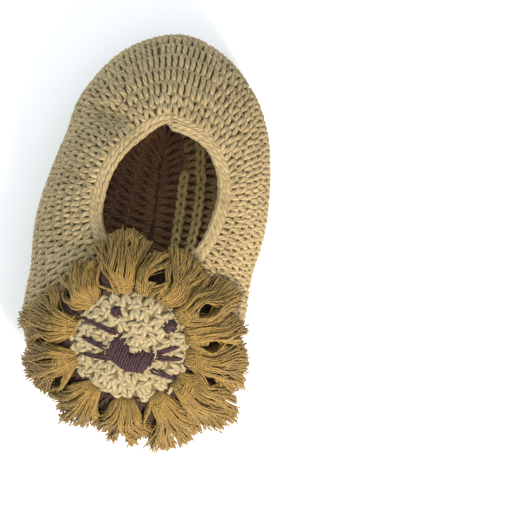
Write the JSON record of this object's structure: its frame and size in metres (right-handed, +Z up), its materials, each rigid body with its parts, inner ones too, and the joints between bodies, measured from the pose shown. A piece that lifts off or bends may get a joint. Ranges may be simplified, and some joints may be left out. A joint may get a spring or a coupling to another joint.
{
  "type": "crochet baby bootie",
  "caption": "Low crochet baby bootie with an open collar, a flat crocheted sole and a lion's face with a fringed yarn mane on the toe.",
  "frame": {"origin": "on the floor under the middle of the foot's length, at the sole's flat bottom", "axes": "+Z up, +Y towards the heel, -Y towards the toe, +X to the right seen from above with the heel at the top"},
  "size_m": [0.0633, 0.1102, 0.0418],
  "materials": {
    "body_yarn": "matt sand-coloured cotton yarn, crocheted",
    "edging_yarn": "matt sand-coloured cotton yarn, twisted",
    "face_yarn": "matt cream cotton yarn, crocheted",
    "mane_yarn": "mustard yarn with a slight sheen, cut and fringed",
    "embroidery": "dark plum embroidery thread"
  },
  "bodies": {
    "root": {"sole": "body_yarn", "upper": "body_yarn", "collar_edging": "edging_yarn", "lion_face": "face_yarn", "nose": "embroidery", "eye_left": "embroidery", "eye_right": "embroidery", "mane_tuft_01": "mane_yarn", "mane_tuft_02": "mane_yarn", "mane_tuft_03": "mane_yarn", "mane_tuft_04": "mane_yarn", "mane_tuft_05": "mane_yarn", "mane_tuft_06": "mane_yarn", "mane_tuft_07": "mane_yarn", "mane_tuft_08": "mane_yarn", "mane_tuft_09": "mane_yarn", "mane_tuft_10": "mane_yarn", "mane_tuft_11": "mane_yarn", "mane_tuft_12": "mane_yarn", "mane_tuft_13": "mane_yarn"}
  },
  "joints": []
}
